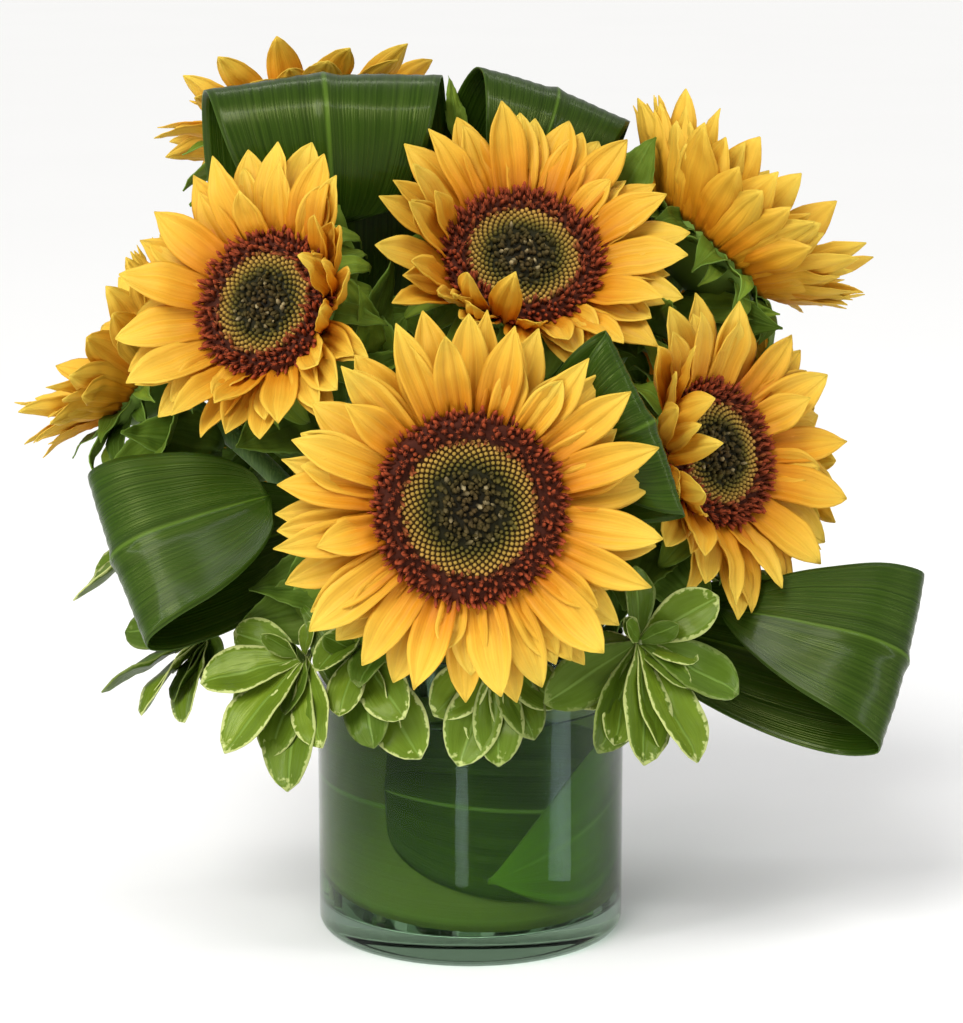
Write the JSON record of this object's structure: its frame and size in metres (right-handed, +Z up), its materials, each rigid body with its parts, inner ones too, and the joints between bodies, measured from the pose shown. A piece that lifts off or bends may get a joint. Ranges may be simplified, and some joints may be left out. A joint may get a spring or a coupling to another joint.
{
  "type": "sunflowers in a vase",
  "caption": "Cut sunflowers with looped aspidistra leaves and variegated pittosporum, standing in water in a clear glass cylinder vase.",
  "frame": {"origin": "centre of the underside of the vase", "axes": "+Z up along the vase's axis, -Y towards the side that the front bloom faces, +X to that viewer's right"},
  "size_m": [0.3775, 0.2858, 0.3659],
  "materials": {
    "glass": "gloss",
    "water": "gloss",
    "ray_yellow": "matte",
    "disc_brown": "matte",
    "stem_green": "satin",
    "aspidistra_green": "gloss",
    "pittosporum_green": "satin"
  },
  "bodies": {
    "root": {"back_left_bloom_disc": "disc_brown", "back_left_bloom_petals": "ray_yellow", "back_left_bloom_stem": "stem_green", "back_left_leaf_loop": "aspidistra_green", "back_right_bloom_disc": "disc_brown", "back_right_bloom_petals": "ray_yellow", "back_right_bloom_stem": "stem_green", "back_right_leaf_loop": "aspidistra_green", "back_right_spray": "pittosporum_green", "back_spray": "pittosporum_green", "far_left_bloom_disc": "disc_brown", "far_left_bloom_petals": "ray_yellow", "far_left_bloom_stem": "stem_green", "far_left_spray": "pittosporum_green", "far_right_bloom_disc": "disc_brown", "far_right_bloom_petals": "ray_yellow", "far_right_bloom_stem": "stem_green", "front_bloom_disc": "disc_brown", "front_bloom_petals": "ray_yellow", "front_bloom_stem": "stem_green", "left_liner_leaf": "aspidistra_green", "left_spray": "pittosporum_green", "lower_left_leaf_loop": "aspidistra_green", "lower_right_leaf_loop": "aspidistra_green", "middle_leaf_fold": "aspidistra_green", "right_bloom_disc": "disc_brown", "right_bloom_petals": "ray_yellow", "right_bloom_stem": "stem_green", "right_liner_leaf": "aspidistra_green", "right_spray": "pittosporum_green", "rim_left_spray": "pittosporum_green", "rim_right_spray": "pittosporum_green", "top_bloom_disc": "disc_brown", "top_bloom_petals": "ray_yellow", "top_bloom_stem": "stem_green", "top_left_bloom_disc": "disc_brown", "top_left_bloom_petals": "ray_yellow", "top_left_bloom_stem": "stem_green", "upper_left_bloom_disc": "disc_brown", "upper_left_bloom_petals": "ray_yellow", "upper_left_bloom_stem": "stem_green", "upper_left_leaf_roll": "aspidistra_green", "upper_middle_leaf_roll": "aspidistra_green", "upper_right_bloom_disc": "disc_brown", "upper_right_bloom_petals": "ray_yellow", "upper_right_bloom_stem": "stem_green", "vase": "glass", "water": "water"}
  },
  "joints": []
}
